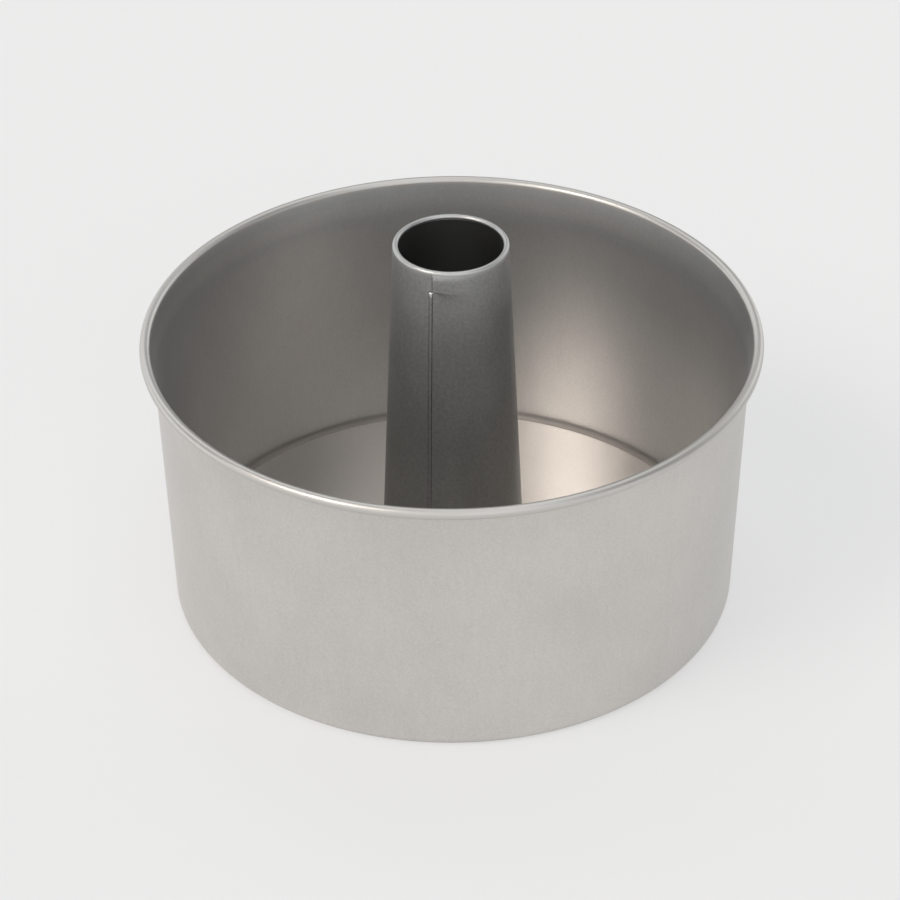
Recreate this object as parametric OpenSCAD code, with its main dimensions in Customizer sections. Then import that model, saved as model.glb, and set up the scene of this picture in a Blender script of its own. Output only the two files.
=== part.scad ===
// Angel food cake pan: a tall spun wall with a rolled rim and a ledge at its foot,
// and a loose base that lifts out: a flat plate with a seamed conical tube clinched into it.
// Origin on the table under the middle of the pan, +Z up, the front of the pan at -Y.

/* [Pan wall] */
// Inside diameter of the mouth, at the height of the rolled rim
mouth_d = 200; // [150:1:260]
// Height from the table to the top of the rolled rim
pan_h = 100; // [60:1:125]
// How far the side leans in, on the radius, from the rim down to the table
side_draw = 3.3; // [0.5:0.1:10]
// Thickness of the wall's sheet
wall_t = 0.8; // [0.7:0.05:1.1]
// Inside radius where the side turns into the ledge
corner_r = 2; // [1:0.1:4]
// Width of the ledge that carries the base, from the foot of the side inwards
ledge_w = 9; // [6:0.5:14]

/* [Rolled rim] */
// How far the rolled rim stands out from the inside face of the mouth
rim_reach = 5; // [4.8:0.1:7]
// Outside diameter of the roll
rim_curl_d = 3.6; // [3.2:0.1:4.2]
// Height over which the side flares out into the roll
rim_flare_h = 6.5; // [5:0.5:12]
// How far round the sheet is rolled, in degrees
rim_curl_turn = 272; // [220:1:276]

/* [Base plate] */
// Thickness of the base plate
plate_t = 1; // [0.8:0.05:1.6]
// Gap all round between the plate's edge and the foot of the wall's inside corner
plate_play = 0.3; // [0.3:0.05:1]
// Rounding of the plate's cut edges
plate_edge_r = 0.25; // [0.1:0.05:0.35]

/* [Centre tube] */
// Height from the table to the top of the tube
tube_h = 134.5; // [110:0.5:160]
// Outside diameter of the tube at its rolled top
tube_top_d = 38.8; // [34:0.2:42]
// Outside diameter that the tube's side reaches at the table
tube_foot_d = 50.6; // [44:0.2:60]
// Thickness of the tube's sheet
tube_t = 0.5; // [0.4:0.05:0.6]
// Outside diameter of the roll at the top
tube_curl_d = 1.9; // [1.7:0.05:2.4]
// How far round the top is rolled inwards, in degrees
tube_curl_turn = 262; // [180:1:268]

/* [Clinch at the tube's foot] */
// Radius inside the bends beside the plate's hole
foot_bend_r = 0.4; // [0.2:0.05:0.5]
// How far the flange under the plate reaches out past the plate's hole
flange_w = 3; // [2:0.1:6]
// Height of the bead that locks the tube down on the plate
lock_bead_h = 2.2; // [1.8:0.1:3]
// How far the bead bears on the plate before its nose
lock_bead_seat = 0.5; // [0.3:0.1:1.5]
// Gap between the plate's hole and the bends of the tube
hole_play = 0.1; // [0.05:0.05:0.2]

/* [Tube seam] */
// Where the seam stands, in degrees to the left of the front
seam_left_of_front = 20; // [0:1:90]
// Width of the seam's strip on the outside
seam_strip_w = 1.1; // [0.8:0.1:2]
// Width of the line at each side of the strip
seam_line_w = 0.2; // [0.15:0.05:0.3]
// Depth of those lines
seam_line_depth = 0.2; // [0.1:0.05:0.3]
// Width of the folded lock on the inside
seam_fold_w = 5; // [3:0.5:8]
// Thickness of the folded lock
seam_fold_t = 1; // [0.8:0.1:1.4]
// Distance from the top of the tube down to the notch where the lock ends
seam_notch_drop = 8; // [6:0.5:14]
// Height of the notch
seam_notch_h = 0.6; // [0.4:0.1:1.2]
// Depth of the notch
seam_notch_depth = 0.35; // [0.2:0.05:0.4]
// How far the upper sheet stands proud at the lap above the notch
lap_rise = 0.25; // [0.15:0.05:0.35]
// How far round the tube the lap takes to die out, in degrees
lap_sweep = 72; // [40:1:80]

/* [Hidden] */

// Smoothness of the round surfaces
round_fn = 180;
// How far the short straight steps of a bend in section may leave the true curve
bend_error = 0.01;
// Stops nearer together than this share of the sheet's thickness are one point
touch_share = 0.01;
// How far cutting shapes run past what they cut
overrun = 1;
// Corners on the arc of the wedge that cuts a bend to its angle
wedge_corners = 8;

// Side of the pan, in section: x is the radius and y the height
mouth_r = mouth_d / 2;
rim_r = mouth_r + rim_reach;
rim_curl_r = rim_curl_d / 2;
rim_curl_mid_r = rim_curl_r - wall_t / 2;
rim_curl_c = [rim_r - rim_curl_r, pan_h - rim_curl_r];
side_lean = atan(side_draw / rim_curl_c[1]);
side_up = [sin(side_lean), cos(side_lean)];
side_out = [cos(side_lean), -sin(side_lean)];
function side_mid_r(z) =
    mouth_r - side_draw * (1 - z / rim_curl_c[1]) + wall_t / 2 / cos(side_lean);

// The flare is an arc that leaves the side without a kink and runs into the roll without one
rim_curl_off = (rim_curl_c[0] - side_mid_r(rim_curl_c[1])) * cos(side_lean);
flare_mid_r = (rim_flare_h ^ 2 + rim_curl_off ^ 2 - rim_curl_mid_r ^ 2)
    / (2 * (rim_curl_off - rim_curl_mid_r));
flare_foot = rim_curl_c - rim_curl_off * side_out - rim_flare_h * side_up;
flare_c = flare_foot + flare_mid_r * side_out;
flare_start = 180 - side_lean;
flare_end = flare_start - atan2(rim_flare_h, flare_mid_r - rim_curl_off);

// Corner and ledge at the foot of the side
corner_mid_r = corner_r + wall_t / 2;
corner_h = corner_r + wall_t;
corner_c = [side_mid_r(corner_h) - corner_mid_r / cos(side_lean), corner_h];
ledge_r = mouth_r - side_draw - ledge_w;

// Base plate on the ledge
plate_bottom = wall_t;
plate_top = plate_bottom + plate_t;
plate_r = corner_c[0] - plate_play;

// Side of the tube, in section
tube_top_r = tube_top_d / 2;
tube_foot_r = tube_foot_d / 2;
tube_curl_r = tube_curl_d / 2;
tube_curl_h = tube_h - tube_curl_r;
tube_lean = atan((tube_foot_r - tube_top_r) / tube_curl_h);
tube_up = [-sin(tube_lean), cos(tube_lean)];
tube_out = [cos(tube_lean), sin(tube_lean)];
function tube_skin_r(z) = tube_foot_r - (tube_foot_r - tube_top_r) * z / tube_curl_h;
function tube_mid(z) = [tube_skin_r(z) - tube_t / 2 / cos(tube_lean), z];
tube_curl_c = [tube_skin_r(tube_curl_h) - tube_curl_r / cos(tube_lean), tube_curl_h];
tube_curl_mid_r = tube_curl_r - tube_t / 2;

// Bends of the clinch: each is no larger than the plate between them leaves room for
foot_bend_mid_r = min(foot_bend_r + tube_t / 2, (plate_t + tube_t) / 2);
function foot_bend_c(leg_z, way) = tube_mid(leg_z + way * foot_bend_mid_r)
    + [foot_bend_mid_r / cos(tube_lean), 0];
flange_z = plate_bottom - tube_t / 2;
bead_low_z = plate_top + tube_t / 2;
bead_high_z = plate_top + lock_bead_h - tube_t / 2;
hole_r = foot_bend_c(flange_z, 1)[0] + hole_play;
bead_nose_c = [hole_r + lock_bead_seat, plate_top + lock_bead_h / 2];
flange_r = hole_r + flange_w;

// Seam of the tube
seam_at = 270 - seam_left_of_front;
seam_notch_z = tube_h - seam_notch_drop;
seam_foot_z = plate_top + lock_bead_h;
seam_edge = seam_strip_w / 2;
lap_top_z = tube_curl_h - tube_curl_r / 2;

// A bent sheet, seen edge on, is a list of stops along its middle. A bend is [centre, radius,
// angle from, angle to] and a straight end is [point, heading]; straight runs join the bends.
function polar(c, r, a) = c + r * [cos(a), sin(a)];
function is_bend(stop) = len(stop) == 4;
function heading(stop, at_end) = is_bend(stop)
    ? (at_end ? stop[3] : stop[2]) + 90 * sign(stop[3] - stop[2])
    : stop[1];
function middle(stop, at_end) = is_bend(stop)
    ? polar(stop[0], stop[1], at_end ? stop[3] : stop[2])
    : stop[0];
function steps(r, turn) = ceil(abs(turn) / (2 * acos(1 - bend_error / max(r, 2 * bend_error))));
function arc(c, r, a, b) =
    let (n = steps(r, b - a))
    [for (i = [0:n]) polar(c, r, a + (b - a) * i / n)];

// Points of one stop, moved aside to its left by off
function beside(stop, off) = is_bend(stop)
    ? arc(stop[0], stop[1] - off * sign(stop[3] - stop[2]), stop[2], stop[3])
    : [stop[0] + off * [-sin(stop[1]), cos(stop[1])]];
// A bend that runs straight on from the stop before it leaves out their shared point
function runs_on(stops, k, t) = k > 0
    && norm(middle(stops[k - 1], true) - middle(stops[k], false)) < touch_share * t;
function one_side(stops, off, t) = [
    for (k = [0:len(stops) - 1])
        let (points = beside(stops[k], off))
            for (i = [(runs_on(stops, k, t) ? 1 : 0):len(points) - 1]) points[i]
];
function inner_points(points) = [for (i = [1:len(points) - 2]) points[i]];
function reversed(points) = [for (i = [len(points) - 1:-1:0]) points[i]];

// Closed outline of a sheet of thickness t along its stops, with rounded free edges
function sheet_outline(stops, t) =
    let (
        last = stops[len(stops) - 1],
        out = heading(last, true),
        back = heading(stops[0], false)
    )
    concat(
        one_side(stops, t / 2, t),
        inner_points(arc(middle(last, true), t / 2, out + 90, out - 90)),
        reversed(one_side(stops, -t / 2, t)),
        inner_points(arc(middle(stops[0], false), t / 2, back - 90, back - 270))
    );

// Flat bar with rounded corners, from corner low to corner high
function bar_outline(low, high, r) = concat(
    arc(low + [r, r], r, 180, 270),
    arc([high[0] - r, low[1] + r], r, 270, 360),
    arc(high - [r, r], r, 0, 90),
    arc([low[0] + r, high[1] - r], r, 90, 180)
);

// Wall from the free edge of its roll, over the rim and down the side to the ledge
wall_stops = [
    [rim_curl_c, rim_curl_mid_r, flare_end - rim_curl_turn, flare_end],
    [flare_c, flare_mid_r, flare_end, flare_start],
    [corner_c, corner_mid_r, -side_lean, -90],
    [[ledge_r + wall_t / 2, wall_t / 2], 180]
];

// Tube from the free edge of its roll, down the side, round the bead and out into the flange
tube_stops = [
    [tube_curl_c, tube_curl_mid_r, tube_lean + tube_curl_turn, tube_lean],
    [foot_bend_c(bead_high_z, 1), foot_bend_mid_r, 180 + tube_lean, 270],
    [bead_nose_c, (lock_bead_h - tube_t) / 2, 90, -90],
    [foot_bend_c(bead_low_z, -1), foot_bend_mid_r, 90, 180 + tube_lean],
    [foot_bend_c(flange_z, 1), foot_bend_mid_r, 180 + tube_lean, 270],
    [[flange_r - tube_t / 2, flange_z], 0]
];

// Upright slab out from the axis towards the seam: from_w and to_w run to the seam's right
module seam_slab(from_w, to_w, low_z, high_z) {
    rotate(seam_at) translate([0, from_w, low_z])
        cube([tube_foot_r + overrun, to_w - from_w, high_z - low_z]);
}

// Layer of the tube's side between two depths under its outer skin
module skin_layer(low_z, high_z, depth_a, depth_b) {
    function on_skin(z) = [tube_skin_r(z), z];
    rotate_extrude($fn = round_fn) polygon([
        on_skin(low_z) - [depth_a, 0],
        on_skin(high_z) - [depth_a, 0],
        on_skin(high_z) - [depth_b, 0],
        on_skin(low_z) - [depth_b, 0]
    ]);
}

// Folded lock inside the seam, from the bead up to the notch
module seam_fold() {
    intersection() {
        skin_layer(seam_foot_z, seam_notch_z, tube_t / 2, tube_t + seam_fold_t);
        seam_slab(-seam_fold_w / 2, seam_fold_w / 2, seam_foot_z - overrun, seam_notch_z + overrun);
    }
}

// Outer sheet at the lap: its own centre is off the axis, so it stands proud and dies out
module seam_lap() {
    reach = tube_foot_r + overrun;
    turns = [for (i = [0:wedge_corners]) seam_at + lap_sweep * i / wedge_corners];
    corners = concat([[0, 0]], [for (w = turns) 2 * reach * [cos(w), sin(w)]]);
    intersection() {
        translate(lap_rise * [cos(seam_at), sin(seam_at), 0])
            skin_layer(seam_notch_z + seam_notch_h, lap_top_z, 0, tube_t / 2 + lap_rise);
        translate([0, 0, seam_notch_z]) linear_extrude(seam_notch_drop) polygon(corners);
    }
}

// The two fine lines of the seam and the notch where the lock was cut away
module seam_cuts() {
    for (side = [-1, 1])
        intersection() {
            skin_layer(seam_foot_z, seam_notch_z, -overrun, seam_line_depth);
            seam_slab(side * seam_edge - seam_line_w / 2, side * seam_edge + seam_line_w / 2,
                seam_foot_z - overrun, seam_notch_z + overrun);
        }
    intersection() {
        skin_layer(seam_notch_z, seam_notch_z + seam_notch_h, -overrun, seam_notch_depth);
        seam_slab(-seam_edge - seam_line_w / 2, seam_edge + seam_line_w / 2,
            seam_notch_z - overrun, seam_notch_z + seam_notch_h + overrun);
    }
}

// Spun wall of the pan, open at the foot inside its ledge
module pan_wall() {
    color([0.73, 0.72, 0.70])
        rotate_extrude($fn = round_fn) polygon(sheet_outline(wall_stops, wall_t));
}

// Loose base plate, a flat ring with rounded edges
module base_plate() {
    color([0.76, 0.74, 0.71])
        rotate_extrude($fn = round_fn)
            polygon(bar_outline([hole_r, plate_bottom], [plate_r, plate_top], plate_edge_r));
}

// Conical tube, seamed down its side and clinched to the plate
module centre_tube() {
    color([0.58, 0.58, 0.57])
        difference() {
            union() {
                rotate_extrude($fn = round_fn) polygon(sheet_outline(tube_stops, tube_t));
                seam_fold();
                seam_lap();
            }
            seam_cuts();
        }
}

pan_wall();
base_plate();
centre_tube();
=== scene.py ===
"""Angel food cake pan: a drawn wall with a rolled rim, a loose plate and a seamed centre tube.

Each piece of sheet metal is one section carried round the upright axis, worked out with numpy as
whole arrays and laid over the fixed frame. Lengths are in metres, +Z is up and the front is -Y.
"""

import math

import bpy
import numpy as np
from bpy.props import FloatProperty, FloatVectorProperty, IntProperty, PointerProperty
from mathutils import Matrix, Vector


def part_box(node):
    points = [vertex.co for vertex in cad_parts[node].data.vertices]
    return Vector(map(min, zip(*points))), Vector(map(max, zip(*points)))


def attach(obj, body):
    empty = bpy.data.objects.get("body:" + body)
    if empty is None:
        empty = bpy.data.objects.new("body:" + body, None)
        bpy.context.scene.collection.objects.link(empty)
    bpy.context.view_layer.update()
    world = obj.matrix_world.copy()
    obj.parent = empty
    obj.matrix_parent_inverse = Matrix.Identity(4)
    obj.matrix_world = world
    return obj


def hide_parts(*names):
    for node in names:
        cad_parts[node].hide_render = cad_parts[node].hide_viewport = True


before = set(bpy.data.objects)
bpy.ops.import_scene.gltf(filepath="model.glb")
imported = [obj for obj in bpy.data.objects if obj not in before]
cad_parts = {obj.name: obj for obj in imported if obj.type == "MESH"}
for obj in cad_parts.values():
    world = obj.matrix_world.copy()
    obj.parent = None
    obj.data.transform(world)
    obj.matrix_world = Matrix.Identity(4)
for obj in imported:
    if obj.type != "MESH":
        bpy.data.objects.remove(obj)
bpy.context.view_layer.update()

bl_info = {
    "name": "Angel food cake pan",
    "version": (1, 0, 0),
    "blender": (4, 5, 0),
    "location": "View3D > Sidebar > Cake Pan",
    "description": "Makes a tall round cake pan with a loose base and a centre tube",
    "category": "Add Mesh",
}

MM = 0.001
TABLE_SIDE = 8.0
SENSOR_WIDTH = 36.0  # in millimetres, the width that the lens is given for


def frame_reach(node):
    """Radius round the upright axis that a frame node keeps inside on all four sides."""
    low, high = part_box(node)
    return min(-low.x, -low.y, high.x, high.y)


WALL_REACH = frame_reach("pan_wall")
WALL_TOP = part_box("pan_wall")[1].z
PLATE_REACH = frame_reach("base_plate")
PLATE_LOW, PLATE_HIGH = (corner.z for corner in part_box("base_plate"))
TUBE_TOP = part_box("centre_tube")[1].z
TUBE_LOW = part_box("centre_tube")[0].z


def length(name, description, default, low=0.0, high=1.0):
    """A size in metres that the user can change."""
    return FloatProperty(
        name=name, description=description, default=default, min=low, max=high,
        unit="LENGTH", subtype="DISTANCE", precision=5,
    )


def angle(name, description, degrees):
    """An angle that the user can change, given in degrees and kept in radians."""
    return FloatProperty(
        name=name, description=description, default=math.radians(degrees),
        min=-math.tau, max=math.tau, subtype="ANGLE",
    )


def share(name, description, default, high=1.0):
    """A plain number from zero up."""
    return FloatProperty(
        name=name, description=description, default=default, min=0.0, max=high
    )


def colour(name, description, default):
    """A linear colour."""
    return FloatVectorProperty(
        name=name, description=description, default=default, size=3,
        min=0.0, max=1.0, subtype="COLOR",
    )


class PanWallSizes(bpy.types.PropertyGroup):
    """Sizes of the drawn wall and its rolled rim."""

    reach: length("Rim radius", "Radius to the outside of the rolled rim", WALL_REACH)
    height: length("Height", "From the table to the top of the rolled rim", WALL_TOP)
    rim_reach: length("Rim reach", "From inside the mouth to the outside of the roll", 5 * MM)
    roll_d: length("Roll diameter", "Outside diameter of the rolled rim", 3.6 * MM)
    roll_turn: angle("Roll turn", "How far round the rim is rolled", 272)
    flare_h: length("Flare height", "Height over which the side flares into the roll", 13.5 * MM)
    draw: length("Draw", "How far the side leans in from the rim to the table", 3.3 * MM)
    sheet: length("Sheet", "Thickness of the wall", 0.8 * MM)
    corner_r: length("Corner", "Inside radius where the side turns into the ledge", 2 * MM)
    ledge_w: length("Ledge", "Width of the ledge that carries the base", 9 * MM)
    turns: IntProperty(
        name="Steps round", description="Steps of the mesh round the axis", default=384, min=48
    )


class BasePlateSizes(bpy.types.PropertyGroup):
    """Sizes of the loose base plate."""

    reach: length("Radius", "Radius to the edge of the plate", PLATE_REACH)
    hole_r: length("Hole radius", "Radius of the hole for the tube", 25.747 * MM)
    low: length("Underside", "Height of the underside", PLATE_LOW)
    high: length("Top", "Height of the top face", PLATE_HIGH)
    edge_r: length("Edge radius", "Rounding of the cut edges", 0.25 * MM)
    turns: IntProperty(
        name="Steps round", description="Steps of the mesh round the axis", default=384, min=48
    )


class CentreTubeSizes(bpy.types.PropertyGroup):
    """Sizes of the conical tube and the clinch at its foot."""

    height: length("Height", "From the table to the top of the tube", TUBE_TOP)
    foot_z: length("Foot", "Height of the underside of the flange", TUBE_LOW)
    top_d: length("Top diameter", "Outside diameter at the rolled top", 38.8 * MM)
    foot_d: length("Foot diameter", "Outside diameter that the side has at the table", 50.6 * MM)
    sheet: length("Sheet", "Thickness of the tube", 0.5 * MM)
    roll_d: length("Roll diameter", "Outside diameter of the rolled top", 1.9 * MM)
    roll_turn: angle("Roll turn", "How far round the top is rolled inwards", 262)
    bend_r: length("Bend radius", "Inside radius of the bends at the foot", 0.4 * MM)
    flange_w: length("Flange", "How far the flange reaches under the plate", 3 * MM)
    bead_h: length("Bead height", "Height of the bead that locks the tube on the plate", 2.2 * MM)
    bead_seat: length("Bead seat", "How far the bead bears on the plate", 0.5 * MM)
    hole_play: length("Hole play", "Gap between the plate's hole and the bends", 0.1 * MM)
    turns: IntProperty(
        name="Steps round", description="Steps of the mesh away from the seam", default=210, min=48
    )


class TubeSeamSizes(bpy.types.PropertyGroup):
    """Sizes of the folded seam down the tube and of the lap above its notch."""

    place: angle("Place", "Turn of the seam about the axis, from +X", 250)
    strip_w: length("Strip", "Width of the strip between the two lines", 1.1 * MM)
    line_w: length("Line", "Width of each line", 0.2 * MM)
    line_depth: length("Line depth", "Depth of the line on the right", 0.2 * MM)
    far_line_depth: length("Left line depth", "Depth of the fainter line on the left", 0.1 * MM)
    fold_w: length("Fold", "Width of the folded lock on the inside", 5 * MM)
    fold_t: length("Fold thickness", "Thickness of the folded lock", 1 * MM)
    notch_drop: length("Notch drop", "From the top of the tube down to the notch", 8 * MM)
    notch_h: length("Notch height", "Height of the notch", 0.6 * MM)
    notch_depth: length("Notch depth", "Depth of the notch", 0.35 * MM)
    lap_rise: length("Lap", "How far the upper sheet stands proud above the notch", 0.22 * MM)
    lap_sweep: angle("Lap sweep", "How far round the lap takes to die out", 60)


class PanFinish(bpy.types.PropertyGroup):
    """Colours and gloss of the three sheets."""

    wall: colour("Wall metal", "Colour of the wall's outside", (0.645, 0.625, 0.597))
    lining: colour("Wall lining", "Colour of the wall's inside", (0.542, 0.546, 0.545))
    plate: colour("Plate metal", "Colour of the plate's aluminium", (0.84, 0.767, 0.705))
    tube: colour("Tube metal", "Colour of the tube's sheet", (0.455, 0.455, 0.448))
    wall_gloss: share("Wall roughness", "Roughness of the satin outside", 0.42)
    lining_gloss: share("Lining roughness", "Roughness of the satin inside", 0.44)
    plate_gloss: share("Plate roughness", "Roughness of the plate", 0.29)
    tube_gloss: share("Tube roughness", "Roughness of the tube", 0.42)
    spun: share("Spun grain", "How much rougher the wall is up and down than round the axis", 0.1)
    rim_gloss: share("Rim roughness", "Roughness of the rolled rims", 0.42)


class StudioSetup(bpy.types.PropertyGroup):
    """Table, light and camera."""

    table: colour("Table", "Colour of the table top", (0.79, 0.79, 0.79))
    backdrop: colour("Backdrop", "Pale colour washed over the table top", (0.895, 0.895, 0.895))
    wash: share("Wash", "Share of the pale colour in what is seen of the table top", 0.58)
    air: colour("Air", "Colour of the even light all round", (1.0, 1.0, 1.0))
    air_level: share("Air level", "Strength of the even light all round", 0.01, 10.0)
    panel_level: share("Panel level", "Factor on the strength of all the soft panels", 1.03, 10.0)
    camera_place: FloatVectorProperty(
        name="Camera", description="Place of the camera", size=3, subtype="TRANSLATION",
        unit="LENGTH", default=(0.0, -0.94953, 0.70874),
    )
    camera_down: angle("Camera pitch", "How far the camera looks down", 34.7043)
    camera_aside: angle("Camera yaw", "How far the camera looks to the right", -0.0527)
    camera_roll: angle("Camera roll", "How far the camera leans", -0.4972)
    lens: FloatProperty(
        name="Lens", description="Focal length on a 36 mm wide sensor", default=133.942,
        unit="CAMERA", min=1.0,
    )


WARM, COOL = (1.05, 1.0, 0.96), (0.985, 1.0, 1.01)
NARROW, BROAD = 80.0, 20.5  # sharpness of a panel's edge
# The panels: colour, azimuth from +X and elevation in degrees, strength, sharpness. The two
# narrow ones make the bright streak inside the wall. The directions and strengths of the broad
# ones come from a scratch program's fit to how bright the photo is, with a cap on what a flat
# sheet may mirror of them, so that the lifted plate doesn't clip to white.
SOFT_PANELS = (
    (WARM, -138, 41, 7.42, NARROW),
    (WARM, -156, 50, 7.83, NARROW),
    (COOL, 60, 6, 0.96, BROAD),
    (COOL, 120, 6, 0.85, BROAD),
    (COOL, 150, 6, 1.33, BROAD),
    (COOL, 180, 6, 1.37, BROAD),
    (WARM, -150, 6, 0.93, BROAD),
    (WARM, -120, 6, 1.15, BROAD),
    (COOL, -90, 6, 0.74, BROAD),
    (COOL, -60, 6, 0.63, BROAD),
    (COOL, -30, 6, 1.23, BROAD),
    (COOL, 15, 22, 0.71, BROAD),
    (COOL, 45, 22, 1.11, BROAD),
    (COOL, -75, 22, 0.57, BROAD),
    (COOL, 120, 38, 1.33, BROAD),
    (COOL, -90, 38, 0.61, BROAD),
    (COOL, -60, 38, 0.77, BROAD),
    (COOL, 90, 54, 0.83, BROAD),
    (COOL, 60, 70, 1.14, BROAD),
    (COOL, -60, 70, 1.42, BROAD),
)

GROUPS = {
    "cake_pan_wall": PanWallSizes,
    "cake_pan_plate": BasePlateSizes,
    "cake_pan_tube": CentreTubeSizes,
    "cake_pan_seam": TubeSeamSizes,
    "cake_pan_finish": PanFinish,
    "cake_pan_studio": StudioSetup,
}


def bend(centre, radius, start, end):
    """Stop of a sheet's middle line: a circular bend between two angles in degrees."""
    return np.asarray(centre, float), radius, start, end


def flat_end(x, z, turn):
    """Stop where a flat run ends in a free edge at (x, z): a bend through next to nothing."""
    return bend([x, z + MM], MM, -90, -90 + turn)


def run_places(span, spacing, margin):
    """Distances along a straight run of length span, evenly spaced at about spacing, with one
    place at margin from each end so that smooth shading stays inside the bends."""
    count = max(int(span / spacing), 1)
    inner = np.linspace(margin, span - margin, count + 1)
    return inner if span > 3 * margin else np.array([span / 2])


def middle_line(stops, spacing, margin, step=6.0):
    """Points and headings along the middle of a bent sheet.

    A bend gives centre + radius * (cos a, sin a) for evenly spaced a, heading along the circle.
    A straight run joins the end of one stop to the start of the next with a constant heading.
    """
    points, headings = [], []
    last = None
    for centre, radius, start, end in stops:
        count = max(int(abs(end - start) / step), 1)
        a = np.radians(np.linspace(start, end, count + 1))
        arc = centre + radius * np.stack([np.cos(a), np.sin(a)], axis=1)
        toward = a + math.copysign(math.pi / 2, end - start)
        if last is not None:
            leg = arc[0] - last
            span = float(np.hypot(*leg))
            if span > 0.02 * MM:
                d = run_places(span, spacing, margin)
                points.append(last + leg * (d / span)[:, None])
                headings.append(np.full(len(d), math.atan2(leg[1], leg[0])))
            else:
                arc, toward = arc[1:], toward[1:]
        points.append(arc)
        headings.append(toward)
        last = arc[-1]
    return np.concatenate(points), np.concatenate(headings)


def end_cap(point, start, turn, radius, count=7):
    """Half circle of a free edge: point + radius * (cos a, sin a), without its two end points."""
    a = start + turn * np.arange(1, count) / count
    return point + radius * np.stack([np.cos(a), np.sin(a)], axis=1)


def sheet_section(points, headings, thickness):
    """Closed outline of a sheet whose middle line is given.

    Each side is the middle line moved by half the thickness along its normal, (-sin h, cos h) for
    heading h, and half circles close the two free edges. The second result is +1 on the side to
    the left of the heading, -1 on the other side and 0 on the free edges.
    """
    half = thickness / 2
    normal = np.stack([-np.sin(headings), np.cos(headings)], axis=1)
    left = points + half * normal
    right = (points - half * normal)[::-1]
    far = end_cap(points[-1], headings[-1] + math.pi / 2, -math.pi, half)
    near = end_cap(points[0], headings[0] - math.pi / 2, -math.pi, half)
    outline = np.concatenate([left, far, right, near])
    side = np.concatenate(
        [np.ones(len(left)), np.zeros(len(far)), -np.ones(len(right)), np.zeros(len(near))]
    )
    return outline, side


def section_normals(outline):
    """Unit normals of a closed outline, square to the chord between each point's neighbours and
    pointing away from the sheet."""
    chord = np.roll(outline, -1, axis=0) - np.roll(outline, 1, axis=0)
    normal = np.stack([-chord[:, 1], chord[:, 0]], axis=1)
    return normal / np.linalg.norm(normal, axis=1)[:, None]


def ring_grid(radius, height, turn):
    """Points of a turned surface, (r cos t, r sin t, z), on a grid of turns by section places."""
    return np.stack([radius * np.cos(turn), radius * np.sin(turn), height + 0 * turn], axis=-1)


def closed_grid_mesh(name, grid):
    """Mesh of a grid that closes on itself both ways, with its faces turned outwards.

    Point (i, j) is joined to (i + 1, j) and (i, j + 1), counted modulo the size of the grid.
    """
    rows, columns = grid.shape[:2]
    i, j = np.meshgrid(np.arange(rows), np.arange(columns), indexing="ij")
    i_next, j_next = (i + 1) % rows, (j + 1) % columns
    quads = np.stack(
        [i * columns + j, i * columns + j_next, i_next * columns + j_next, i_next * columns + j],
        axis=-1,
    ).reshape(-1, 4)
    mesh = bpy.data.meshes.new(name)
    mesh.vertices.add(rows * columns)
    mesh.vertices.foreach_set("co", grid.reshape(-1).astype(np.float32))
    mesh.loops.add(quads.size)
    mesh.loops.foreach_set("vertex_index", quads.reshape(-1).astype(np.int32))
    mesh.polygons.add(len(quads))
    mesh.polygons.foreach_set("loop_start", np.arange(0, quads.size, 4, dtype=np.int32))
    mesh.polygons.foreach_set("use_smooth", np.ones(len(quads), bool))
    mesh.update(calc_edges=True)
    mesh.validate()
    return mesh


def place_piece(name, mesh, body, node, material):
    """Puts a finished mesh into the scene, on its body and in place of its frame node."""
    piece = bpy.data.objects.new(name, mesh)
    bpy.context.scene.collection.objects.link(piece)
    mesh.materials.append(material)
    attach(piece, body)
    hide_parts(node)


def even_turns(count):
    """Angles evenly spaced round the axis, as a column."""
    return (np.arange(count) * math.tau / count)[:, None]


def wall_section(s):
    """Closed section of the wall, from the free edge of its roll down to the ledge.

    The side is a straight leaning run. The flare is the arc that is tangent to the side and to the
    roll's middle circle: its radius is (h^2 + off^2 - m^2) / (2 (off - m)), for flare height h,
    roll radius m and distance off between the roll's centre and the side's line.
    """
    half = s.sheet / 2
    mouth_r = s.reach - s.rim_reach
    roll_r = s.roll_d / 2
    roll_m = roll_r - half
    roll_c = np.array([s.reach - roll_r, s.height - roll_r])
    lean = math.atan(s.draw / roll_c[1])
    up = np.array([math.sin(lean), math.cos(lean)])
    out = np.array([math.cos(lean), -math.sin(lean)])

    def side_middle(z):
        return mouth_r - s.draw * (1 - z / roll_c[1]) + half / math.cos(lean)

    off = (roll_c[0] - side_middle(roll_c[1])) * math.cos(lean)
    flare_r = (s.flare_h**2 + off**2 - roll_m**2) / (2 * (off - roll_m))
    flare_c = roll_c - off * out - s.flare_h * up + flare_r * out
    lean_deg = math.degrees(lean)
    flare_low = 180 - lean_deg
    flare_high = flare_low - math.degrees(math.atan2(s.flare_h, flare_r - off))
    corner_m = s.corner_r + half
    corner_z = s.corner_r + s.sheet
    corner_c = [side_middle(corner_z) - corner_m / math.cos(lean), corner_z]
    ledge_r = mouth_r - s.draw - s.ledge_w
    stops = [
        bend(roll_c, roll_m, flare_high - math.degrees(s.roll_turn), flare_high),
        bend(flare_c, flare_r, flare_high, flare_low),
        bend(corner_c, corner_m, -lean_deg, -90),
        flat_end(ledge_r + half, half, -0.01),
    ]
    points, headings = middle_line(stops, 4 * MM, 0.4 * MM)
    return sheet_section(points, headings, s.sheet)[0]


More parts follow.
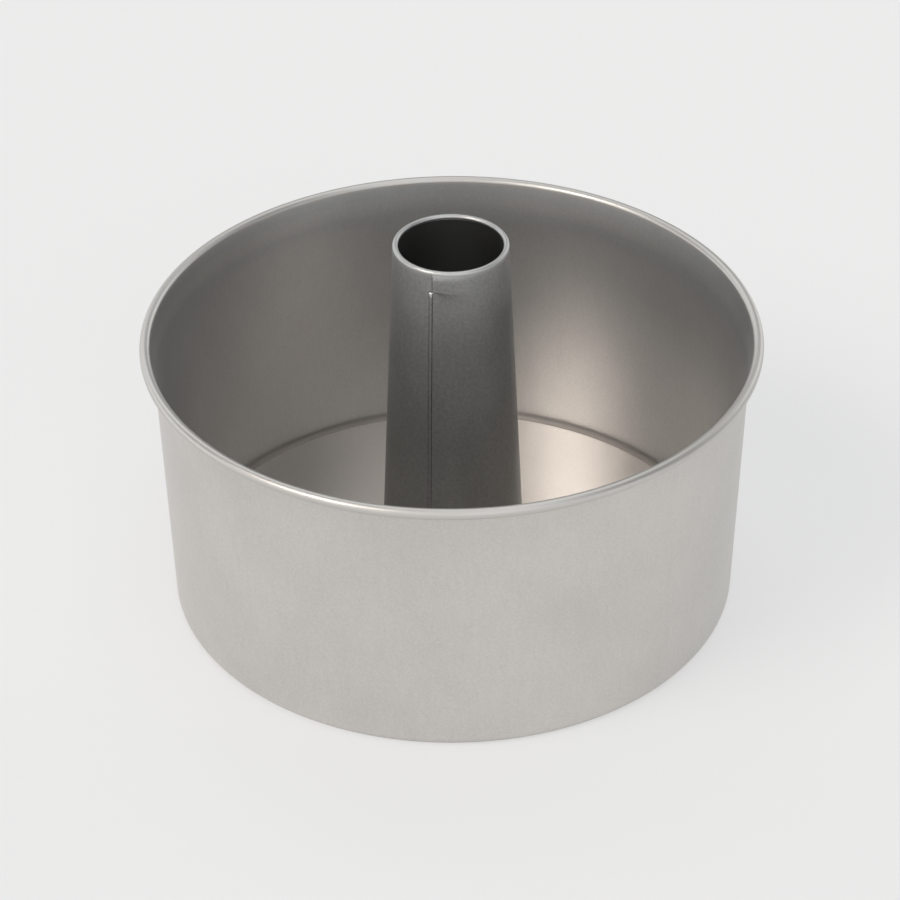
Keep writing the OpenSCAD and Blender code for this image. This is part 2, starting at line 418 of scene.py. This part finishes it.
def plate_section(s):
    """Closed section of the plate: a flat bar with four rounded corners, in clockwise order."""
    r = s.edge_r
    span = s.reach - s.hole_r
    across = run_places(span, 4 * MM, 2 * r + 0.2 * MM)
    a = np.radians(np.linspace(0, 90, 6))

    def corner(x, z, start):
        return np.stack([x + r * np.cos(start - a), z + r * np.sin(start - a)], axis=1)

    top = np.stack([s.hole_r + across, np.full(len(across), s.high)], axis=1)
    low = np.stack([s.hole_r + across[::-1], np.full(len(across), s.low)], axis=1)
    return np.concatenate(
        [
            corner(s.hole_r + r, s.high - r, math.pi),
            top,
            corner(s.reach - r, s.high - r, math.pi / 2),
            corner(s.reach - r, s.low + r, 0.0),
            low,
            corner(s.hole_r + r, s.low + r, -math.pi / 2),
        ]
    )


def smooth(x, low, high):
    """Smooth step from 0 at low to 1 at high: 3 t^2 - 2 t^3 for t from 0 to 1."""
    t = np.clip((x - low) / (high - low), 0.0, 1.0)
    return t * t * (3.0 - 2.0 * t)


def hump(x, middle, width):
    """Round hump of height 1: half of 1 + cos, over width about middle, and 0 outside it."""
    t = np.clip(np.abs(x - middle) / (width / 2), 0.0, 1.0)
    return 0.5 * (1.0 + np.cos(math.pi * t))


def tube_section(s, seam):
    """Closed section of the tube, from the free edge of its roll down the side and round the
    clinch, with its sides marked, and the place and lean of its skin."""
    half = s.sheet / 2
    top_r, foot_r = s.top_d / 2, s.foot_d / 2
    roll_r = s.roll_d / 2
    roll_z = s.height - roll_r
    lean = math.atan((foot_r - top_r) / roll_z)
    slope = (foot_r - top_r) / roll_z

    def middle(z):
        return np.array([foot_r - slope * z - half / math.cos(lean), z])

    roll_c = [foot_r - slope * roll_z - roll_r / math.cos(lean), roll_z]
    bend_m = min(s.bend_r + half, (PLATE_HIGH - PLATE_LOW + s.sheet) / 2)

    def foot_bend(leg_z, way, start, end):
        centre = middle(leg_z + way * bend_m) + [bend_m / math.cos(lean), 0]
        return bend(centre, bend_m, start, end)

    lean_deg = math.degrees(lean)
    flange_z = s.foot_z + half
    in_hole = foot_bend(flange_z, 1, 180 + lean_deg, 270)
    hole_r = in_hole[0][0] + s.hole_play
    nose = [hole_r + s.bead_seat, PLATE_HIGH + s.bead_h / 2]
    flange_r = hole_r + s.flange_w
    stops = [
        bend(roll_c, roll_r - half, lean_deg + math.degrees(s.roll_turn), lean_deg),
        foot_bend(PLATE_HIGH + s.bead_h - half, 1, 180 + lean_deg, 270),
        bend(nose, s.bead_h / 2 - half, 90, -90),
        foot_bend(PLATE_HIGH + half, -1, 90, 180 + lean_deg),
        in_hole,
        flat_end(flange_r - half, flange_z, 0.01),
    ]
    points, headings = middle_line(stops, 3 * MM, 0.3 * MM, step=12.0)
    notch_low = s.height - seam.notch_drop
    edges = np.concatenate(
        [
            np.linspace(-0.25, 0.25, 9) * MM + notch_low,
            np.linspace(-0.25, 0.25, 9) * MM + notch_low + seam.notch_h,
            np.linspace(-2.2, 0.2, 9) * MM + roll_z,
        ]
    )
    upright = (points[:, 1] < roll_z) & (points[:, 1] > PLATE_HIGH + s.bead_h)
    upright &= np.abs(headings + math.pi / 2 - lean) < 0.02
    first = int(np.argmax(upright))
    last = len(upright) - int(np.argmax(upright[::-1])) - 1
    lows, highs = points[last, 1], points[first, 1]
    z = np.concatenate([points[first : last + 1, 1], edges[(edges > lows) & (edges < highs)]])
    z = np.unique(np.round(z, 7))[::-1]
    side_points = np.stack([foot_r - slope * z - half / math.cos(lean), z], axis=1)
    points = np.concatenate([points[:first], side_points, points[last + 1 :]])
    headings = np.concatenate(
        [headings[:first], np.full(len(z), headings[first]), headings[last + 1 :]]
    )
    outline, side = sheet_section(points, headings, s.sheet)
    return outline, side, foot_r, slope, roll_z, PLATE_HIGH + s.bead_h


def seam_places(seam):
    """Distances from the middle of the seam, across it, close together at its lines and edges."""
    edge = seam.strip_w / 2
    line = np.linspace(-1.0, 1.0, 11) * seam.line_w * 0.7
    fold = np.linspace(-0.5, 0.5, 5) * 0.4 * MM
    step = np.linspace(-0.6, 0.6, 11) * seam.line_w
    return np.unique(
        np.round(
            np.concatenate(
                [
                    line - edge, line + edge, step + edge,
                    fold - seam.fold_w / 2, fold + seam.fold_w / 2,
                    np.linspace(-3.6, 3.6, 25) * MM,
                ]
            ),
            7,
        )
    )


def tube_grid(s, seam):
    """Grid of the tube: its section carried round the axis, then moved along its normal.

    Near the seam a column keeps its distance w across the seam, so its turn is place + w / r; the
    rest is spaced evenly. The outer skin sinks by a round hump at each line and at the notch, and
    rises above the notch by lap_rise from the seam round to the right, where a smooth step over
    lap_sweep and another into the roll let it die out. Down from the notch it dies out over half
    of the distance w, up to 4 mm. The inner skin thickens by the folded lock below the notch.
    """
    outline, side, foot_r, slope, roll_z, bead_top = tube_section(s, seam)
    normal = section_normals(outline)
    r, z = outline[None, :, 0], outline[None, :, 1]
    skin_r = foot_r - slope * z
    near = seam_places(seam)[:, None]
    reach = near[-1, 0]
    far_share = (np.arange(1, s.turns) / s.turns)[:, None]
    near_turn = near / skin_r
    edge_turn = reach / skin_r
    far_turn = edge_turn + (math.tau - 2 * edge_turn) * far_share
    turn = np.concatenate([near_turn + 0 * r, far_turn + 0 * r])
    across = turn * skin_r
    across = np.where(turn > math.pi, across - math.tau * skin_r, across)
    notch_low = s.height - seam.notch_drop
    notch_high = notch_low + seam.notch_h
    edge = seam.strip_w / 2
    below = 1 - smooth(z, notch_low - 0.1 * MM, notch_low)
    below = below * smooth(z, bead_top, bead_top + 1.5 * MM)
    lines = seam.line_depth * hump(across, edge, 1.4 * seam.line_w)
    lines = lines + seam.far_line_depth * hump(across, -edge, 1.4 * seam.line_w)
    in_notch = smooth(z, notch_low - 0.26 * MM, notch_low + 0.1 * MM)
    in_notch = in_notch * (1 - smooth(z, notch_high - 0.02 * MM, notch_high + 0.08 * MM))
    notch_across = smooth(across, -edge - 0.14 * MM, -edge - 0.02 * MM)
    notch_across = notch_across * (1 - smooth(across, edge + 0.02 * MM, edge + 0.14 * MM))
    above = smooth(z, notch_high - 0.05 * MM, notch_high + 0.05 * MM)
    into_roll = 1 - smooth(z, roll_z - 2.2 * MM, roll_z + 0.1 * MM)
    gap = seam.line_depth * hump(across, edge - 0.16 * MM, 1.4 * seam.line_w) * into_roll
    lap = seam.lap_rise * (1 - smooth(turn, 0.0, seam.lap_sweep))
    lap = lap * smooth(across, edge - 0.08 * MM, edge + 0.04 * MM) * (turn < math.pi)
    fade = np.clip(0.5 * (across - edge), 0.05 * MM, 4 * MM)
    lap = lap * smooth(z, notch_high - fade, notch_high + 0.05 * MM)
    rise = lap * into_roll - gap * above - lines * below
    rise = rise - seam.notch_depth * in_notch * notch_across
    fold_half = seam.fold_w / 2
    fold = smooth(across, -fold_half - 0.2 * MM, -fold_half + 0.2 * MM)
    fold = fold * (1 - smooth(across, fold_half - 0.2 * MM, fold_half + 0.2 * MM))
    fold = fold * smooth(z, bead_top + 0.4 * MM, bead_top + 0.8 * MM)
    fold = fold * (1 - smooth(z, notch_low - 0.25 * MM, notch_low + 0.25 * MM))
    upright = (z > bead_top) & (z < roll_z + 0.2 * MM)
    outer = upright & (side[None, :] > 0) & (normal[None, :, 0] > 0.5)
    inner = upright & (side[None, :] < 0) & (normal[None, :, 0] < -0.5)
    move = np.where(outer, rise, 0.0) + np.where(inner, seam.fold_t * fold, 0.0)
    radius = r + move * normal[None, :, 0]
    height = z + move * normal[None, :, 1]
    return ring_grid(radius, height, turn + seam.place)


class Wire:
    """A number that varies over a surface. The operators and abs add Math nodes."""

    def __init__(self, maker, socket):
        self.maker = maker
        self.socket = socket

    def math(self, operation, a, b=None):
        values = [a] if b is None else [a, b]
        return self.maker.node(
            "ShaderNodeMath", {"operation": operation}, dict(enumerate(values))
        )

    def __add__(self, other):
        return self.math("ADD", self, other)

    def __radd__(self, other):
        return self.math("ADD", other, self)

    def __sub__(self, other):
        return self.math("SUBTRACT", self, other)

    def __rsub__(self, other):
        return self.math("SUBTRACT", other, self)

    def __mul__(self, other):
        return self.math("MULTIPLY", self, other)

    def __rmul__(self, other):
        return self.math("MULTIPLY", other, self)

    def __truediv__(self, other):
        return self.math("DIVIDE", self, other)

    def __rtruediv__(self, other):
        return self.math("DIVIDE", other, self)

    def __pow__(self, other):
        return self.math("POWER", self, other)

    def __rpow__(self, other):
        return self.math("POWER", other, self)

    def __abs__(self):
        return self.math("ABSOLUTE", self)


class Nodes:
    """Adds nodes to a cleared node tree."""

    def __init__(self, tree):
        self.tree = tree
        tree.nodes.clear()

    def node(self, kind, settings=None, inputs=None, output=0):
        """Adds a node: settings first, then inputs by name or number, as values or links."""
        made = self.tree.nodes.new(kind)
        for key, value in (settings or {}).items():
            setattr(made, key, value)
        for key, value in (inputs or {}).items():
            socket = made.inputs[key]
            if isinstance(value, Wire):
                self.tree.links.new(value.socket, socket)
            else:
                socket.default_value = value
        return Wire(self, made.outputs[output]) if made.outputs else None

    def outputs(self, kind, numbers):
        """Adds a node that only gives values, and returns some of its outputs."""
        made = self.tree.nodes.new(kind)
        return [Wire(self, made.outputs[number]) for number in numbers]

    def blend(self, factor, a, b, way="MIX"):
        """Colour that goes from a to b with factor, or to a + b where way is ADD."""
        return self.node(
            "ShaderNodeMix", {"data_type": "RGBA", "blend_type": way}, {0: factor, 6: a, 7: b},
            output=2,
        )


class Finish(Nodes):
    """Builds one material's nodes."""

    def __init__(self, name):
        self.material = bpy.data.materials.new(name)
        self.material.use_nodes = True
        super().__init__(self.material.node_tree)

    def noise(self, vector, scale, detail=2.0, roughness=0.5):
        """Noise from 0 to 1 at a vector."""
        return self.node(
            "ShaderNodeTexNoise",
            {"noise_dimensions": "3D"},
            {"Vector": vector, "Scale": scale, "Detail": detail, "Roughness": roughness},
        )

    def spread(self, value, low, high, to_low=0.0, to_high=1.0):
        """Maps low..high to to_low..to_high and holds the ends."""
        return self.node(
            "ShaderNodeMapRange",
            {"clamp": True},
            {
                "Value": value, "From Min": low, "From Max": high,
                "To Min": to_low, "To Max": to_high,
            },
        )

    def place(self):
        """The point on the piece, and its three coordinates."""
        at = self.node("ShaderNodeTexCoord", output=3)
        split = self.tree.nodes.new("ShaderNodeSeparateXYZ")
        self.tree.links.new(at.socket, split.inputs[0])
        return at, *(Wire(self, split.outputs[k]) for k in range(3))

    def vector(self, x, y, z):
        """Vector of three numbers."""
        return self.node("ShaderNodeCombineXYZ", inputs={0: x, 1: y, 2: z})

    def metal(self, colour_wire, roughness, height, distance, spun=0.0):
        """Bare metal with a varying colour, roughness and fine relief.

        The grain is round the upright axis, so spun metal spreads its gloss up and down.
        """
        relief = self.node(
            "ShaderNodeBump", inputs={"Height": height, "Distance": distance}
        )
        self.node(
            "ShaderNodeOutputMaterial",
            inputs={
                "Surface": self.node(
                    "ShaderNodeBsdfPrincipled",
                    inputs={
                        "Base Color": colour_wire,
                        "Metallic": 1.0,
                        "Roughness": roughness,
                        "Anisotropic": spun,
                        "Anisotropic Rotation": 0.25,
                        "Normal": relief,
                    },
                )
            },
        )
        return self.material


def tone(colour_value, factor):
    """The colour made lighter or darker by a factor, with full alpha."""
    return (*(min(channel * factor, 1.0) for channel in colour_value), 1.0)


NOTCH_CUT_AND_HIGHLIGHT = (0.95, 0.95, 0.94, 1.0)  # near white: fresh metal where the seam's notch was cut, brightened as a painted highlight on its ledge
FINE_GRAIN, COARSE_GRAIN = 1300.0, 1000.0
RELIEF = 0.02 * MM  # depth of the fine relief
# How light each part of a piece is, as a factor on the colour of a sheet.
# The corner tone is painted shade in the corner at the ledge.
RIM_TONE, CORNER_SHADE_TONE = 0.94, 0.56
# The roll tone is a painted sheen; the hollow, foot and seam-line tones are painted shade.
ROLL_SHEEN_TONE, HOLLOW_SHADE_TONE, FOOT_SHADE_TONE, NICK_TONE, SEAM_SHADE_TONE = 1.2, 0.65, 0.4, 1.5, 0.12


def drawn_metal(s, finish):
    """Satin aluminium of the drawn wall: fine grain, cloudy tone and faint upright draw marks.

    The draw marks read the point's direction round the axis, so they run straight up the side.
    A point belongs to the inside where its radius is less than that of the sheet's middle, which
    leans with the side and steps out by a parabola over the flare. The rim has its own tone, and
    deep in the corner at the ledge the metal is dull, with painted shade that darkens it.
    """
    f = Finish("wall metal")
    at, x, y, z = f.place()
    radius = (x * x + y * y) ** 0.5
    marks_at = f.vector(x / radius, y / radius, z * 2.0)
    marks = f.noise(marks_at, 48.0, 4.0, 0.65)
    broad = f.noise(marks_at, 7.0, 2.0)
    cloud = f.noise(at, 26.0, 3.0)
    grain = f.noise(at, FINE_GRAIN, 2.0, 0.7)
    shade = f.spread(cloud * 0.35 + grain * 0.5 + marks * 0.15, 0.38, 0.62)
    outside = f.blend(shade, tone(finish.wall, 0.93), tone(finish.wall, 1.07))
    lining = f.blend(shade, tone(finish.lining, 0.93), tone(finish.lining, 1.07))
    middle = z * (s.draw / s.height) + (s.reach - s.rim_reach - s.draw + s.sheet / 2)
    roll_low, roll_z = s.height - s.roll_d, s.height - s.roll_d / 2
    step_out = s.rim_reach - s.roll_d
    flared = f.spread(z, roll_z - s.flare_h, roll_z, 0.0, s.flare_h)
    middle = middle + flared * flared * (step_out / s.flare_h**2)
    facing_in = f.spread(middle - radius, -0.1 * MM, 0.1 * MM)
    on_roll = f.spread(z, roll_z - 0.5 * MM, roll_z + 0.2 * MM)
    under_roll = f.spread(z, roll_low - 1.5 * MM, roll_low + 0.3 * MM)
    rim = under_roll * (1.0 - facing_in * (1.0 - on_roll))
    inside = facing_in * (1.0 - rim)
    skin = f.blend(inside, outside, lining)
    skin = f.blend(rim, skin, tone(finish.wall, RIM_TONE))
    # Painted shade: deep in the corner at the ledge the lining goes over to a dark tone of the
    # plate's colour.
    corner = inside * f.spread(z, s.sheet + 0.7 * MM, s.sheet + 2.9 * MM, 1.0, 0.0)
    skin = f.blend(corner, skin, tone(finish.plate, CORNER_SHADE_TONE))
    gloss = (cloud - 0.5) * 0.05 + (marks - 0.5) * 0.04 + (grain - 0.5) * 0.06 + finish.wall_gloss
    gloss = gloss + inside * (finish.lining_gloss - finish.wall_gloss)
    gloss = gloss + corner * 0.3 - rim * (finish.wall_gloss - finish.rim_gloss)
    relief = grain * 0.35 + marks * 0.12 + broad * 0.5
    return f.metal(skin, gloss, relief, RELIEF, finish.spun)


def plate_metal(finish):
    """Satin aluminium of the flat plate: fine grain and cloudy tone."""
    f = Finish("plate metal")
    at = f.place()[0]
    cloud = f.noise(at, 22.0, 3.0)
    grain = f.noise(at, FINE_GRAIN, 2.0, 0.7)
    shade = f.spread(cloud * 0.5 + grain * 0.5, 0.36, 0.64)
    skin = f.blend(shade, tone(finish.plate, 0.96), tone(finish.plate, 1.04))
    gloss = (cloud - 0.5) * 0.06 + (grain - 0.5) * 0.02 + finish.plate_gloss
    return f.metal(skin, gloss, grain * 0.04 + cloud * 0.5, RELIEF)


def tube_metal(s, seam, finish):
    """Darker satin sheet of the tube: coarse grain, cloudy tone and a few bright nicks, with
    painted
    light and shade: a paler roll at its top as a painted sheen, painted shade in the lines of the
    seam, on the inside and darkening the lower tube towards its foot, and near-white cut metal in
    the notch, brightened as a painted highlight.

    The distance across the seam is the component of the point square to the seam's own direction.
    """
    f = Finish("tube metal")
    at, x, y, z = f.place()
    radius = (x * x + y * y) ** 0.5
    cloud = f.noise(at, 40.0, 3.0)
    grain = f.noise(at, COARSE_GRAIN, 2.0, 0.7)
    nick = f.node(
        "ShaderNodeTexVoronoi", {"feature": "F1"}, {"Vector": at, "Scale": 90.0}
    )
    nicks = 1.0 - f.spread(nick, 0.012, 0.02)
    shade = f.spread(cloud * 0.35 + grain * 0.65, 0.38, 0.62)
    skin = f.blend(shade, tone(finish.tube, 0.88), tone(finish.tube, 1.12))
    skin = f.blend(nicks * 0.5, skin, tone(finish.tube, NICK_TONE))
    # Painted shade: the tube is darkened towards its foot, down in the pan between the tube and
    # the wall.
    foot = f.spread(z, 0.0, 0.7 * s.height, 0.35, 0.0)
    skin = f.blend(foot, skin, tone(finish.tube, FOOT_SHADE_TONE))
    roll = f.spread(z, s.height - s.roll_d - 0.3 * MM, s.height - s.roll_d + 0.3 * MM)
    slope = (s.foot_d - s.top_d) / (2 * s.height)
    depth = s.foot_d / 2 - z * slope - radius
    inside = f.spread(depth, 0.2 * MM, 0.35 * MM) * (1.0 - roll)
    across = y * math.cos(seam.place) - x * math.sin(seam.place)
    ahead = f.spread(x * math.cos(seam.place) + y * math.sin(seam.place), 0.0, MM)
    notch_low = s.height - seam.notch_drop
    below = f.spread(z, notch_low - 0.1 * MM, notch_low, 1.0, 0.0)
    above = f.spread(z, notch_low + seam.notch_h, notch_low + seam.notch_h + 0.1 * MM)
    edge = seam.strip_w / 2
    right = 1.0 - f.spread(abs(across - edge), 0.08 * MM, 0.2 * MM)
    left = 1.0 - f.spread(abs(across + edge), 0.08 * MM, 0.2 * MM)
    # Painted shade in the lines of the seam, the crevices between the sheets: both lines below the
    # notch and the right line above it.
    seam_shade = ahead * (below * (right * 0.65 + left * 0.4) + above * right * 0.7) * (1.0 - roll)
    skin = f.blend(seam_shade, skin, tone(finish.tube, SEAM_SHADE_TONE))
    in_strip = 1.0 - f.spread(abs(across), edge, edge + 0.1 * MM)
    in_notch = f.spread(z, notch_low - 0.3 * MM, notch_low - 0.2 * MM) * (1.0 - above)
    # Near-white in the notch: fresh cut metal, brightened as a painted highlight on the ledge that
    # faces up.
    skin = f.blend(ahead * in_strip * in_notch, skin, NOTCH_CUT_AND_HIGHLIGHT)
    # Painted shade: the tube's inner surface is darkened, as shade falls inside the hollow.
    skin = f.blend(inside, skin, tone(finish.tube, HOLLOW_SHADE_TONE))
    # Painted sheen: the roll at the tube's top is made paler to stand in for the highlight along
    # it.
    skin = f.blend(roll, skin, tone(finish.tube, ROLL_SHEEN_TONE))
    gloss = (cloud - 0.5) * 0.06 + (grain - 0.5) * 0.06 + finish.tube_gloss
    gloss = gloss - roll * (finish.tube_gloss - finish.rim_gloss)
    return f.metal(skin, gloss, grain * 0.5 + cloud * 1.5, RELIEF)


def table_top(colour_value, pale, wash):
    """Matt table top with the faintest grain. Eyes and metal see it washed with the pale colour
    by a share; the rest of it is lit, so the object keeps its shadow."""
    f = Finish("table top")
    at = f.place()[0]
    grain = f.noise(at, 60.0, 2.0)
    skin = f.blend(grain, tone(colour_value, 0.995), tone(colour_value, 1.005))
    lit = f.node(
        "ShaderNodeBsdfPrincipled",
        inputs={"Base Color": skin, "Roughness": 0.9, "Specular IOR Level": 0.2},
    )
    seen, glossy, through = f.outputs("ShaderNodeLightPath", (0, 3, 6))
    washed = wash * (seen + glossy + through)
    glow = f.node("ShaderNodeEmission", inputs={"Color": (*pale, 1.0)})
    surface = f.node("ShaderNodeMixShader", inputs={0: washed, 1: lit, 2: glow})
    f.node("ShaderNodeOutputMaterial", inputs={"Surface": surface})
    return f.material


def studio_air(scene, setup):
    """Soft light from all round, as the world: faint even air and many soft panels.

    A panel gives its colour times strength * e ^ (sharpness * (c - 1)), where c is the cosine of
    the angle between a direction and the panel's middle.
    """
    world = bpy.data.worlds.new("studio air")
    world.use_nodes = True
    f = Nodes(world.node_tree)
    toward = f.node("ShaderNodeTexCoord")
    toward = f.node("ShaderNodeVectorMath", {"operation": "NORMALIZE"}, {0: toward})
    light = tone(setup.air, setup.air_level)
    for panel_colour, azimuth, elevation, strength, sharpness in SOFT_PANELS:
        a, e = math.radians(azimuth), math.radians(elevation)
        middle = (math.cos(a) * math.cos(e), math.sin(a) * math.cos(e), math.sin(e))
        facing = f.node(
            "ShaderNodeVectorMath", {"operation": "DOT_PRODUCT"}, {0: toward, 1: middle}, output=1
        )
        glow = math.e ** ((facing - 1.0) * sharpness)
        level = (*(channel * strength * setup.panel_level for channel in panel_colour), 1.0)
        light = f.blend(glow, light, level, "ADD")
    f.node(
        "ShaderNodeOutputWorld",
        inputs={"Surface": f.node("ShaderNodeBackground", inputs={"Color": light})},
    )
    scene.world = world


def photo_camera(scene, setup):
    """Camera that looks along +Y, turned aside and down, then rolled about its own view."""
    down, aside, roll = -setup.camera_down, setup.camera_aside, setup.camera_roll
    ahead = Vector(
        (math.sin(aside) * math.cos(down), math.cos(aside) * math.cos(down), math.sin(down))
    )
    right = Vector((math.cos(aside), -math.sin(aside), 0.0))
    up = right.cross(ahead)
    rolled_right = math.cos(roll) * right + math.sin(roll) * up
    rolled_up = -math.sin(roll) * right + math.cos(roll) * up
    data = bpy.data.cameras.new("photo camera")
    data.lens = setup.lens
    data.sensor_width = SENSOR_WIDTH
    data.sensor_fit = "HORIZONTAL"
    data.clip_start, data.clip_end = 0.01, 50.0
    camera = bpy.data.objects.new("photo camera", data)
    turn = Matrix((rolled_right, rolled_up, -ahead)).transposed()
    camera.matrix_world = Matrix.Translation(setup.camera_place) @ turn.to_4x4()
    scene.collection.objects.link(camera)
    scene.camera = camera


class MakePanWall(bpy.types.Operator):
    """Make the drawn wall with its rolled rim and its ledge"""

    bl_idname = "cake_pan.make_wall"
    bl_label = "Pan Wall"

    def execute(self, context):
        s = context.scene.cake_pan_wall
        finish = context.scene.cake_pan_finish
        section = wall_section(s)
        grid = ring_grid(section[None, :, 0], section[None, :, 1], even_turns(s.turns))
        place_piece(
            "pan_wall_sheet", closed_grid_mesh("pan wall sheet", grid), "pan", "pan_wall",
            drawn_metal(s, finish),
        )
        return {"FINISHED"}


class MakeBasePlate(bpy.types.Operator):
    """Make the loose flat plate that lies on the ledge"""

    bl_idname = "cake_pan.make_base_plate"
    bl_label = "Base Plate"

    def execute(self, context):
        s = context.scene.cake_pan_plate
        finish = context.scene.cake_pan_finish
        section = plate_section(s)
        grid = ring_grid(section[None, :, 0], section[None, :, 1], even_turns(s.turns))
        place_piece(
            "base_plate_sheet", closed_grid_mesh("base plate sheet", grid), "loose_base",
            "base_plate", plate_metal(finish),
        )
        return {"FINISHED"}


class MakeCentreTube(bpy.types.Operator):
    """Make the conical tube with its seam, notch, lap, rolled top and clinch"""

    bl_idname = "cake_pan.make_centre_tube"
    bl_label = "Centre Tube"

    def execute(self, context):
        s, seam = context.scene.cake_pan_tube, context.scene.cake_pan_seam
        finish = context.scene.cake_pan_finish
        grid = tube_grid(s, seam)
        place_piece(
            "centre_tube_sheet", closed_grid_mesh("centre tube sheet", grid), "loose_base",
            "centre_tube", tube_metal(s, seam, finish),
        )
        return {"FINISHED"}


class MakeStudio(bpy.types.Operator):
    """Make the table, the soft light and the camera"""

    bl_idname = "cake_pan.make_studio"
    bl_label = "Studio"

    def execute(self, context):
        scene = context.scene
        setup = scene.cake_pan_studio
        half = TABLE_SIDE / 2
        mesh = bpy.data.meshes.new("table top")
        mesh.from_pydata(
            [(-half, -half, 0), (half, -half, 0), (half, half, 0), (-half, half, 0)],
            [], [(0, 1, 2, 3)],
        )
        table = bpy.data.objects.new("table_top", mesh)
        mesh.materials.append(table_top(setup.table, setup.backdrop, setup.wash))
        scene.collection.objects.link(table)
        studio_air(scene, setup)
        photo_camera(scene, setup)
        scene.view_settings.view_transform = "Standard"
        return {"FINISHED"}


class CakePanPanel(bpy.types.Panel):
    """Sidebar panel with the sizes and the makers of the pan's pieces"""

    bl_idname = "CAKE_PAN_PT_pieces"
    bl_label = "Angel Food Cake Pan"
    bl_space_type = "VIEW_3D"
    bl_region_type = "UI"
    bl_category = "Cake Pan"

    def draw(self, context):
        for operator in OPERATORS:
            self.layout.operator(operator.bl_idname, text=operator.bl_label)
        for name in GROUPS:
            group = getattr(context.scene, name)
            box = self.layout.box()
            for key in group.__annotations__:
                box.prop(group, key)


OPERATORS = (MakePanWall, MakeBasePlate, MakeCentreTube, MakeStudio)


def register():
    """Registers the classes and hangs the sizes on the scene."""
    for cls in (*GROUPS.values(), *OPERATORS, CakePanPanel):
        bpy.utils.register_class(cls)
    for name, cls in GROUPS.items():
        setattr(bpy.types.Scene, name, PointerProperty(type=cls))


def unregister():
    """Takes the sizes off the scene and unregisters the classes."""
    for name in GROUPS:
        delattr(bpy.types.Scene, name)
    for cls in reversed((*GROUPS.values(), *OPERATORS, CakePanPanel)):
        bpy.utils.unregister_class(cls)


def main():
    register()
    bpy.ops.cake_pan.make_wall()
    bpy.ops.cake_pan.make_base_plate()
    bpy.ops.cake_pan.make_centre_tube()
    bpy.ops.cake_pan.make_studio()


if __name__ == "__main__":
    main()
